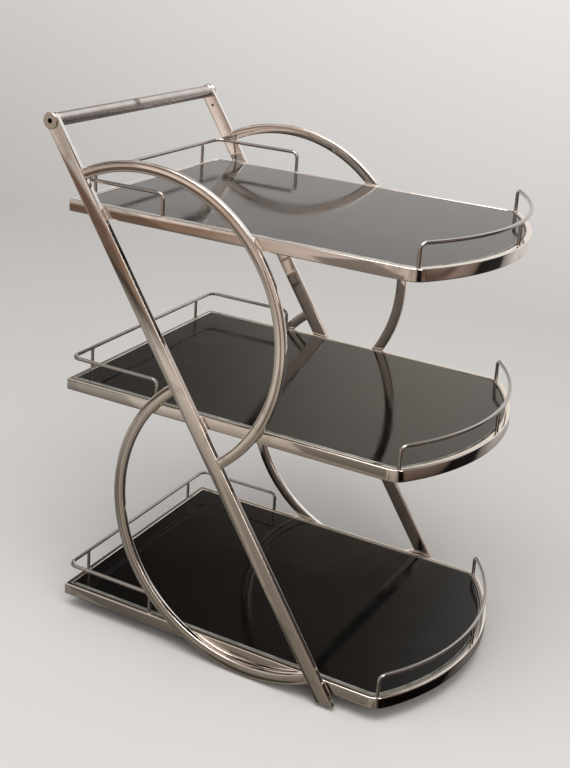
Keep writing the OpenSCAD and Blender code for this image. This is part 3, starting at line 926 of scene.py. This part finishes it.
@dataclass
class Handle:
    """The round bar between the posts' tops, with its end discs and screws."""

    at: tuple[float, float] = (-342.0, 846.0)
    bar_d: float = 22.5
    end_y: float = 220.0
    edge: float = 1.4

    def build(self) -> None:
        """Turns the bar and dresses the discs and screws.

        Formula: a circle carried along Y; near each end its radius falls by one less the
        cosine of an angle while it moves on by the sine, which rounds the edge.
        """
        t = np.linspace(0, math.pi / 2, 7)
        fall = self.edge * (1 - np.cos(t))
        step = self.end_y - self.edge + self.edge * np.sin(t)
        y = np.concatenate([-step[::-1], step])
        radius = self.bar_d / 2 - np.concatenate([fall[::-1], fall])
        lean = np.concatenate([-np.sin(t[::-1]), np.sin(t)])
        line = np.stack([np.full_like(y, self.at[0]), y, np.full_like(y, self.at[1])], -1)
        shape, out = round_section(2.0, 72)
        points, normals = carry((shape, out), line, FRONT, UP, radius)
        normals = normals * np.sqrt(1 - lean ** 2)[:, None, None] + (
            lean[:, None, None] * LEFTWARD)
        skin = Skin()
        skin.grid(points, normals)
        skin.build("handle_bar_tube", "trolley", [BAR], "handle_metal", ["handle_bar"])
        dress(["right_end_disc", "left_end_disc"], DISC)
        dress(["right_handle_screw", "left_handle_screw"], OXIDE)


@dataclass
class Shelf:
    """One shelf: its bowed tube frame, ledge, pads, glass pane and two rod galleries."""

    tier: Tier
    rear_x: float = -312.5
    half_w: float = 220.0
    rail_w: float = 10.0
    rail_h: float = 20.0
    tube_r: float = 2.0
    bow_x: float = 10.5
    bow_r: float = 345.0
    corner_r: float = 32.5
    corner_at: tuple[float, float] = (260.5, 187.5)
    corner_turn: float = math.atan2(3, 4)
    glass_in: float = 13.0
    glass_drop: float = 0.5
    glass_t: float = 5.0
    glass_bevel: float = 0.7
    arris: float = 0.35
    rod_d: float = 6.0
    upright_d: float = 5.5
    gallery_h: float = 36.0
    bend_r: float = 10.0
    turn_r: float = 14.0
    rear_len: float = 167.0
    upright_y: float = 160.0
    front_in: float = 5.0
    sunk: float = 0.3
    foot_bead: float = 0.9
    head_bead: float = 0.6
    corner_rows: int = 18
    bow_rows: int = 74
    bend_rows: int = 12
    turn_rows: int = 14
    rod_bow_rows: int = 80

    @property
    def name(self) -> str:
        """The shelf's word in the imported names."""
        return self.tier.name.lower()

    def front_line(self, inset: float) -> tuple[Array, Array]:
        """Follows the shelf's front from the left side rail round the bow to the right one.

        Formula: three arcs that share their tangents, a quarter turn less the corner's
        angle, twice that angle about the bow's centre, and the first again.

        Args:
            inset: How far inside the shelf's outline the line runs.

        Returns:
            The line's points and its outward directions, rows by three.
        """
        a = self.corner_turn
        corner = np.linspace(math.pi / 2, a, self.corner_rows)
        bow = np.linspace(a, -a, self.bow_rows)[1:-1]
        turn = np.concatenate([corner, bow, -corner[::-1]])
        out = np.stack([np.cos(turn), np.sin(turn), 0 * turn], -1)
        x, y = self.corner_at
        rows = (len(corner), len(bow), len(corner))
        centre = np.repeat([[x, y, 0.0], [self.bow_x, 0.0, 0.0], [x, -y, 0.0]], rows, 0)
        radius = np.repeat([self.corner_r, self.bow_r, self.corner_r], rows) - inset
        return centre + out * radius[:, None], out

    def frame(self) -> None:
        """Carries the rail's section round the shelf, with mitred rear corners.

        Formula: the rows are the front line and one row at each rear corner, where the
        outward direction is that of both rails together, so the section reaches the
        mitre; normals come from each rail's own direction, so the mitre stays sharp.
        """
        inset = self.rail_w / 2
        line, out = self.front_line(inset)
        back, side = self.rear_x + inset, self.half_w - inset
        line = np.concatenate([[[back, side, 0]], line, [[back, -side, 0]]])
        line[:, 2] = self.tier.value - self.rail_h / 2
        reach = np.concatenate([[[-1.0, 1, 0]], out, [[-1.0, -1, 0]]])
        first = np.concatenate([[LEFTWARD], out, [-FRONT]])
        last = np.concatenate([out, [-LEFTWARD], [-FRONT]])
        shape, normal = crowned_section(self.rail_h, self.rail_w, self.tube_r)
        section = (shape[:, ::-1], normal[:, ::-1])
        points, _ = carry(section, line, reach, UP)
        _, at_start = carry(section, line, first, UP)
        _, at_stop = carry(section, line, last, UP)
        skin = Skin()
        skin.grid(points, (at_start, at_stop), loop=True)
        skin.build(f"{self.name}_shelf_rails", "trolley", [TUBE], "polished_tube",
                   [f"{self.name}_shelf_frame"])

    def pane(self) -> None:
        """Builds the black pane with its ground bevel and arris.

        Formula: the columns follow the pane's outline; the rows go from the lower face
        over the edge and the bevel to the upper face, each drawn in and raised by its
        own amount, and flat faces close both ends.
        """
        line, out = self.front_line(self.glass_in)
        back, side, arc = self.rear_x + self.glass_in, self.half_w - self.glass_in, 1.5
        left, _ = bend(np.array([back + arc, side - arc, 0.0]), arc * LEFTWARD,
                       -arc * FRONT, 6)
        right, _ = bend(np.array([back + arc, arc - side, 0.0]), -arc * FRONT,
                        -arc * LEFTWARD, 6)
        line = np.concatenate([line, right[::-1], left[::-1]])
        out = np.concatenate([
            out, (right[::-1] - np.array([back + arc, arc - side, 0])) / arc,
            (left[::-1] - np.array([back + arc, side - arc, 0])) / arc])
        foot = self.tier.value - self.glass_drop - self.glass_t
        drawn = np.array([self.arris, 0.0, 0.0, self.glass_bevel])
        height = np.array([0.0, self.arris, self.glass_t - self.glass_bevel, self.glass_t])
        points = line[None] - out[None] * drawn[:, None, None] + UP * (
            foot + height)[:, None, None]
        slopes = [(1.0, -1.0), (1.0, 0.0), (1.0, 1.0)]
        ways = np.stack([(out * h + UP * z) / math.hypot(h, z) for h, z in slopes])
        skin = Skin()
        skin.grid(points, (ways, ways), stuff=1, cap_stuff=0)
        skin.build(f"{self.name}_pane", "trolley", [PANE, EDGE], "dark_glass",
                   [f"{self.name}_glass"])

    def rod(self, skin: Skin, line: Array, tangent: Array, heading: Array) -> None:
        """Adds a bent rod.

        Formula: a circle carried along the line; its first direction is level and square
        to the heading, its second square to that and to the tangent, so it never twists.

        Args:
            skin: The mesh it goes into.
            line: The rod's middle line.
            tangent: Its direction at each row.
            heading: The level direction it travels in there.
        """
        level = np.cross(-UP, heading)
        skin.grid(*carry(round_section(self.rod_d), line, level,
                         np.cross(tangent, level)))

    def gallery(self, which: str, line: Array, tangent: Array, heading: Array,
                uprights: list[tuple[float, float]]) -> None:
        """Builds one gallery with the beads at its feet.

        Args:
            which: "rear" or "front".
            line: The rod's middle line, from one foot to the other.
            tangent: Its direction at each row.
            heading: The level direction it travels in.
            uprights: Where the short uprights stand.
        """
        skin, beads = Skin(), Skin()
        self.rod(skin, line, tangent, heading)
        under_rod = (self.gallery_h - self.rod_d / 2 + 0.1) * UP
        for x, y in uprights:
            foot = np.array([x, y, self.tier.value])
            stem = np.stack([foot - self.sunk * UP, foot + self.gallery_h * UP])
            skin.grid(*carry(round_section(self.upright_d), stem, FRONT, LEFTWARD))
            ring_bead(beads, foot, self.upright_d, self.foot_bead)
            ring_bead(beads, foot + under_rod, self.upright_d, self.head_bead)
        for x, y in line[[0, -1], :2]:
            ring_bead(beads, np.array([x, y, self.tier.value]), self.rod_d, self.foot_bead)
        skin.build(f"{self.name}_{which}_rods", "trolley", [ROD], "polished_tube",
                   [f"{self.name}_{which}_gallery"])
        beads.build(f"{self.name}_{which}_rod_feet", "trolley", [BEAD], "polished_tube")

    def rear_gallery(self) -> None:
        """Lays the rear gallery: up, a bend, three runs with round corners, and down."""
        inset = self.rail_w / 2
        x0, y0 = self.rear_x + inset, self.half_w - inset
        level, r, c = self.tier.value + self.gallery_h, self.bend_r, self.turn_r
        post_x = x0 + self.rear_len
        rise = np.array([post_x - r, y0, level - r])
        fall = np.array([post_x - r, -y0, level - r])
        left = np.array([x0 + c, y0 - c, level])
        right = np.array([x0 + c, c - y0, level])
        foot_z = self.tier.value - self.sunk
        runs = [
            (np.array([[post_x, y0, foot_z]]), UP[None], -FRONT),
            (*bend(rise, r * FRONT, r * UP, self.bend_rows), -FRONT),
            (*bend(left, c * LEFTWARD, -c * FRONT, self.turn_rows), None),
            (*bend(right, -c * FRONT, -c * LEFTWARD, self.turn_rows), None),
            (*bend(fall, r * UP, r * FRONT, self.bend_rows), FRONT),
            (np.array([[post_x, -y0, foot_z]]), -UP[None], FRONT)]
        self.gallery("rear", *self.joined(runs), [(x0, self.upright_y),
                                                  (x0, -self.upright_y)])

    def front_gallery(self) -> None:
        """Lays the front gallery: up, a bend, the long bow, a bend, and down."""
        a, r = self.corner_turn, self.bend_r
        radius = self.bow_r - self.front_in
        level = self.tier.value + self.gallery_h
        bow = np.array([self.bow_x, 0.0, level])
        out = np.array([math.cos(a), math.sin(a), 0.0])
        way = np.array([-math.sin(a), math.cos(a), 0.0])
        flip = np.array([1.0, -1.0, 1.0])
        first = bow + radius * out - r * UP
        foot_z = (self.tier.value - self.sunk) * UP
        runs = [
            ((first + r * way) * np.array([1, 1, 0]) + foot_z, UP, -way),
            (*bend(first, r * way, r * UP, self.bend_rows), -way),
            (*bend(bow, radius * out, -radius * way, self.rod_bow_rows, 2 * a), None),
            (*bend(first * flip, r * UP, r * way * flip, self.bend_rows), way * flip),
            ((first + r * way) * np.array([1, -1, 0]) + foot_z, -UP, way * flip)]
        runs = [(np.atleast_2d(p), np.atleast_2d(t), h) for p, t, h in runs]
        self.gallery("front", *self.joined(runs), [(self.bow_x + radius, 0.0)])

    def joined(self, runs: list[tuple[Array, Array, Array | None]]
               ) -> tuple[Array, Array, Array]:
        """Joins the runs of a bent rod.

        Args:
            runs: Points, tangents and heading of each run; a level run has no heading of
                its own, because it heads the way it goes.

        Returns:
            The rod's points, tangents and headings, rows by three.
        """
        lines = np.concatenate([p for p, _, _ in runs])
        tangents = np.concatenate([t for _, t, _ in runs])
        headings = np.concatenate([t if h is None else np.repeat(h[None], len(t), 0)
                                   for _, t, h in runs])
        return lines, tangents, headings

    def build(self) -> None:
        """Builds the rails, pane and galleries and dresses the ledge and pads."""
        self.frame()
        self.pane()
        self.rear_gallery()
        self.front_gallery()
        dress([f"{self.name}_ledge"], STRIP)
        dress([f"{self.name}_pads"], PAD)


@dataclass
class Castors:
    """The four swivel castors on their two cross strips."""

    corners: list[str] = field(default_factory=lambda: [
        "rear_right", "rear_left", "front_right", "front_left"])

    def build(self) -> None:
        """Puts strip steel, bright zinc and rubber on the castors' nodes."""
        dress(["rear_castor_strip", "front_castor_strip"], STRIP)
        dress(["castor_screws"], ZINC)
        for corner in self.corners:
            dress([f"{corner}_plate", f"{corner}_fork", f"{corner}_axle"], ZINC)
            dress([f"{corner}_wheel"], TYRE)


# Studio


@dataclass
class Studio:
    """The camera at the photograph's angle, a pale floor and backdrop, and soft light."""

    eye: tuple[float, float, float] = (0.8458, -1.7002, 1.1888)
    yaw: float = 0.464
    pitch: float = -0.278
    roll: float = 0.068
    focal_px: float = 1209.53
    centre_px: tuple[float, float] = (304.28, 252.59)
    picture: tuple[int, int] = (570, 768)
    sensor_mm: float = 36.0
    # The paper lightens from the floor's colour to the wall's by this height: painted light on
    # the upper backdrop, which the lamps light less
    floor_colour: str = "#CECCCA"
    painted_bright_wall_colour: str = "#FBFAF9"
    painted_brightening_height: float = 1.0
    wall_y: float = 2.7
    cove: float = 0.9
    reach: float = 7.0
    aim: tuple[float, float, float] = (0.0, 0.0, 0.45)
    light_colour: str = "#FDFCFB"
    light_power: float = 0.66
    upright_scale: tuple[float, float, float] = (10.0, 10.0, 2.4)
    shop_contrast: tuple[float, float] = (0.22, 1.15)
    dark_blocks: float = 0.45
    bench: tuple[float, float] = (-0.52, -0.43)
    bench_share: float = 0.75
    bench_bands: tuple[tuple[float, str], ...] = (
        (-0.60, "#857C70"), (-0.43, "#A3988A"), (-0.35, "#C9BAAE"), (-0.24, "#D0C2B8"),
        (-0.20, "#8B7A70"), (-0.12, "#83736A"), (0.0, "#CFBFB3"))
    wall_bands: tuple[tuple[float, str], ...] = (
        (-0.75, "#2A2826"), (-0.55, "#6A6561"), (-0.40, "#A9A49F"), (-0.30, "#D8D3CF"),
        (-0.05, "#DDD9D6"), (0.05, "#F8F2EF"), (0.30, "#F6EFEB"), (0.35, "#F0E6D8"),
        (0.43, "#EEE3D6"), (0.46, "#B0A69B"), (0.50, "#7D7368"), (0.60, "#655D55"),
        (0.75, "#E8E4E0"), (1.0, "#FFFFFF"))
    shop_bands: tuple[tuple[float, str], ...] = (
        (-0.60, "#6E6963"), (-0.45, "#857F78"), (-0.36, "#C4BCB2"), (-0.315, "#453A33"),
        (-0.295, "#84705F"), (-0.235, "#806454"), (-0.215, "#E4D8CE"), (-0.14, "#D0BEB2"),
        (-0.10, "#A08A7C"), (-0.07, "#26201C"), (-0.03, "#C8B8AD"), (0.05, "#F4ECE5"),
        (0.10, "#5F534B"), (0.15, "#F3EEE9"), (0.27, "#D6CAC1"), (0.34, "#8F8278"),
        (0.43, "#3F3731"), (0.58, "#2E2926"), (0.68, "#F6F2EE"), (1.00, "#FFFFFF"))
    far_left: tuple[float, float] = (-0.55, -0.28)
    far_left_share: float = 0.22
    far_left_height: tuple[float, float] = (0.25, 0.335)
    far_left_low: float = 0.12
    washed_height: tuple[float, float] = (0.25, 0.40)
    washed_side: tuple[float, float] = (-0.32, -0.12)
    wall_side: tuple[float, float] = (-0.12, 0.10)
    ahead_bands: tuple[tuple[float, str], ...] = (
        (0.0, "#FFFFFF"), (0.40, "#FFFFFF"), (0.58, "#BDB8B5"), (0.63, "#37373B"),
        (0.83, "#2B2827"), (0.86, "#94827A"), (0.93, "#A99891"), (0.95, "#6A5A52"),
        (1.0, "#B9A9A1"))

    def camera(self) -> None:
        """Sets the camera: it turns by yaw, tips by pitch, and rolls by roll."""
        data = bpy.data.cameras.new("photograph_view")
        wide, tall = self.picture
        data.sensor_width = self.sensor_mm
        data.lens = self.focal_px * self.sensor_mm / tall
        data.shift_x = (wide / 2 - self.centre_px[0]) / tall
        data.shift_y = (self.centre_px[1] - tall / 2) / tall
        data.clip_start = 0.05
        camera = bpy.data.objects.new("photograph_view", data)
        turned = (Matrix.Rotation(self.yaw, 4, "Z")
                  @ Matrix.Rotation(math.pi / 2 + self.pitch, 4, "X")
                  @ Matrix.Rotation(self.roll, 4, "Z"))
        camera.matrix_world = Matrix.Translation(self.eye) @ turned
        bpy.context.scene.collection.objects.link(camera)
        bpy.context.scene.camera = camera

    def room(self) -> None:
        """Makes the floor and wall as one sheet.

        Formula: the profile runs level towards +Y, turns up through a quarter circle of
        radius cove, and rises; it is carried straight along X.
        """
        turn = np.linspace(0.0, np.pi / 2, 24)
        y = np.concatenate([[-self.reach], self.wall_y - self.cove
                            + self.cove * np.sin(turn), [self.wall_y]])
        z = np.concatenate([[0.0], self.cove * (1 - np.cos(turn)), [self.reach]])
        x = np.array([-self.reach, self.reach])
        grid = np.stack([np.repeat(x[:, None], len(y), 1),
                         np.repeat(y[None], 2, 0), np.repeat(z[None], 2, 0)], -1)
        count = len(y)
        first = np.arange(count - 1)
        faces = np.stack([first, first + count, first + count + 1, first + 1], -1)
        mesh = bpy.data.meshes.new("studio_sheet")
        mesh.from_pydata(grid.reshape(-1, 3).tolist(), [], faces.tolist())
        mesh.polygons.foreach_set("use_smooth", np.ones(len(faces), bool))
        sheet = bpy.data.objects.new("studio_sheet", mesh)
        bpy.context.scene.collection.objects.link(sheet)
        paper = bpy.data.materials.new("matt_studio_paper")
        paper.use_nodes = True
        tree = paper.node_tree
        tree.nodes.clear()
        at = add_node(tree, "ShaderNodeTexCoord").outputs["Object"]
        parts = add_node(tree, "ShaderNodeSeparateXYZ", {0: at})
        # Painted light: the paper brightens with height, standing in for light that the lamps
        # don't give the wall
        up = add_node(tree, "ShaderNodeMapRange", {
            "Value": parts.outputs[2], "From Max": self.painted_brightening_height})
        tone = add_node(tree, "ShaderNodeMix", {
            0: up.outputs[0], 6: hex_to_linear(self.floor_colour),
            7: hex_to_linear(self.painted_bright_wall_colour)}, data_type="RGBA")
        shader = add_node(tree, "ShaderNodeBsdfDiffuse", {"Color": tone.outputs[2]})
        clear = add_node(tree, "ShaderNodeBsdfTransparent")
        mirrored = add_node(tree, "ShaderNodeLightPath").outputs["Is Glossy Ray"]
        both = add_node(tree, "ShaderNodeMixShader", {
            0: mirrored, 1: shader.outputs[0], 2: clear.outputs[0]})
        add_node(tree, "ShaderNodeOutputMaterial", {"Surface": both.outputs[0]})
        mesh.materials.append(paper)

    def lamp(self, name: str, at: tuple[float, float, float], size: tuple[float, float],
             power: float, colour: str = "#FFFFFF") -> None:
        """Hangs one soft lamp that faces the middle of the trolley.

        Args:
            name: The lamp's name.
            at: Where it hangs, in metres.
            size: Its width and height in metres.
            power: Its power in watts.
            colour: Its light's colour.
        """
        data = bpy.data.lights.new(name, "AREA")
        data.shape = "RECTANGLE"
        data.size, data.size_y = size
        data.energy = power
        data.color = hex_to_linear(colour)[:3]
        lamp = bpy.data.objects.new(name, data)
        facing = Vector(at) - Vector(self.aim)
        lamp.matrix_world = Matrix.Translation(at) @ (
            facing.to_track_quat("Z", "Y").to_matrix().to_4x4())
        bpy.context.scene.collection.objects.link(lamp)

    def band(self, tree: Tree, part: Socket, stops: tuple[tuple[float, str], ...]) -> Socket:
        """Colours the room by one part of the direction, such as its height.

        Args:
            tree: The world's node tree.
            part: That part, from -1 to 1.
            stops: Pairs of its value and the colour there, from low to high.

        Returns:
            The colour.
        """
        place = add_node(tree, "ShaderNodeMapRange", {"Value": part, "From Min": -1.0})
        ramp = add_node(tree, "ShaderNodeValToRGB", {0: place.outputs[0]})
        marks = ramp.color_ramp.elements
        for _ in stops[2:]:
            marks.new(0.5)
        for mark, (at, colour) in zip(marks, stops):
            mark.position = (at + 1.0) / 2.0
            mark.color = hex_to_linear(colour)
        return ramp.outputs[0]

    def sky(self) -> None:
        """Lights the trolley evenly, and gives the plate and glass a room to mirror.

        The mirrored room is a white wall behind, which darkens to the left, low down and
        near the ceiling's edge, a warm dim workshop on the camera's side with a paler
        bench and dark blocks, and dark and brown stretches ahead of the trolley.
        """
        world = bpy.data.worlds.new("soft_studio")
        bpy.context.scene.world = world
        world.use_nodes = True
        tree = world.node_tree
        tree.nodes.clear()
        way = add_node(tree, "ShaderNodeTexCoord").outputs["Generated"]
        parts = add_node(tree, "ShaderNodeSeparateXYZ", {0: way})
        wall = self.band(tree, parts.outputs[2], self.wall_bands)
        shop = self.band(tree, parts.outputs[2], self.shop_bands)
        middle = add_node(tree, "ShaderNodeMapRange", {
            "Value": parts.outputs[0], "From Min": self.bench[0],
            "From Max": self.bench[1], "To Max": self.bench_share},
            interpolation_type="SMOOTHSTEP")
        pale = add_node(tree, "ShaderNodeMix", {
            0: middle.outputs[0], 6: shop,
            7: self.band(tree, parts.outputs[2], self.bench_bands)}, data_type="RGBA")
        upright = add_node(tree, "ShaderNodeMapping", {
            "Vector": way, "Scale": self.upright_scale})
        blocks = add_node(tree, "ShaderNodeTexVoronoi", {
            "Vector": upright.outputs[0], "Scale": 1.0})
        tones = add_node(tree, "ShaderNodeSeparateColor", {0: blocks.outputs["Color"]})
        shade = add_node(tree, "ShaderNodeMapRange", {
            "Value": tones.outputs[0], "From Max": self.dark_blocks,
            "To Min": self.shop_contrast[0], "To Max": self.shop_contrast[1]})
        broken = add_node(tree, "ShaderNodeVectorMath", {
            0: pale.outputs[2], 3: shade.outputs[0]}, operation="SCALE")
        above = add_node(tree, "ShaderNodeMapRange", {
            "Value": parts.outputs[2], "From Min": self.washed_height[0],
            "From Max": self.washed_height[1]})
        aside = add_node(tree, "ShaderNodeMapRange", {
            "Value": parts.outputs[0], "From Min": self.washed_side[0],
            "From Max": self.washed_side[1]},
            interpolation_type="SMOOTHSTEP")
        lit = add_node(tree, "ShaderNodeMath", {
            0: above.outputs[0], 1: aside.outputs[0]}, operation="MULTIPLY")
        washed = add_node(tree, "ShaderNodeMix", {
            0: lit.outputs[0], 6: wall, 7: hex_to_linear("#FFFFFF")}, data_type="RGBA")
        behind = add_node(tree, "ShaderNodeMapRange", {
            "Value": parts.outputs[1], "From Min": self.wall_side[0],
            "From Max": self.wall_side[1]},
            interpolation_type="SMOOTHSTEP")
        left = add_node(tree, "ShaderNodeMapRange", {
            "Value": parts.outputs[0], "From Min": self.far_left[0],
            "From Max": self.far_left[1], "To Min": self.far_left_share},
            interpolation_type="SMOOTHSTEP")
        high = add_node(tree, "ShaderNodeMapRange", {
            "Value": parts.outputs[2], "From Min": self.far_left_height[0],
            "From Max": self.far_left_height[1], "To Min": self.far_left_low})
        share = add_node(tree, "ShaderNodeMix", {
            0: high.outputs[0], 2: 1.0, 3: left.outputs[0]})
        faded = add_node(tree, "ShaderNodeVectorMath", {
            0: washed.outputs[2], 3: share.outputs[0]}, operation="SCALE")
        around = add_node(tree, "ShaderNodeMix", {
            0: behind.outputs[0], 6: broken.outputs[0], 7: faded.outputs[0]},
            data_type="RGBA")
        room = add_node(tree, "ShaderNodeMix", {
            0: 1.0, 6: around.outputs[2],
            7: self.band(tree, parts.outputs[0], self.ahead_bands)},
            data_type="RGBA", blend_type="MULTIPLY")
        mirrored = add_node(tree, "ShaderNodeLightPath").outputs["Is Glossy Ray"]
        seen = add_node(tree, "ShaderNodeMix", {
            0: mirrored, 6: hex_to_linear(self.light_colour),
            7: room.outputs[2]}, data_type="RGBA")
        power = add_node(tree, "ShaderNodeMapRange", {
            "Value": mirrored, "To Min": self.light_power, "To Max": 1.0})
        back = add_node(tree, "ShaderNodeBackground", {
            "Color": seen.outputs[2], "Strength": power.outputs[0]})
        add_node(tree, "ShaderNodeOutputWorld", {"Surface": back.outputs[0]})

    def build(self) -> None:
        """Sets up the camera, the room, the lamps and the world light."""
        self.camera()
        self.room()
        self.lamp("overhead_softbox", (0.3, -0.9, 2.9), (2.4, 1.6), 55.0)
        self.lamp("camera_side_softbox", (2.3, -1.6, 1.8), (0.9, 1.6), 16.0, "#FFF6EC")
        self.sky()
        bpy.context.scene.view_settings.view_transform = "Standard"
        LOG.info("studio ready")


def main() -> None:
    """Builds the studio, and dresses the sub-assemblies in order."""
    Studio().build()
    SideFrames().build()
    Handle().build()
    for tier in Tier:
        Shelf(tier).build()
    Castors().build()


if __name__ == "__main__":
    logging.basicConfig(level=logging.INFO, format="%(name)s: %(message)s")
    main()
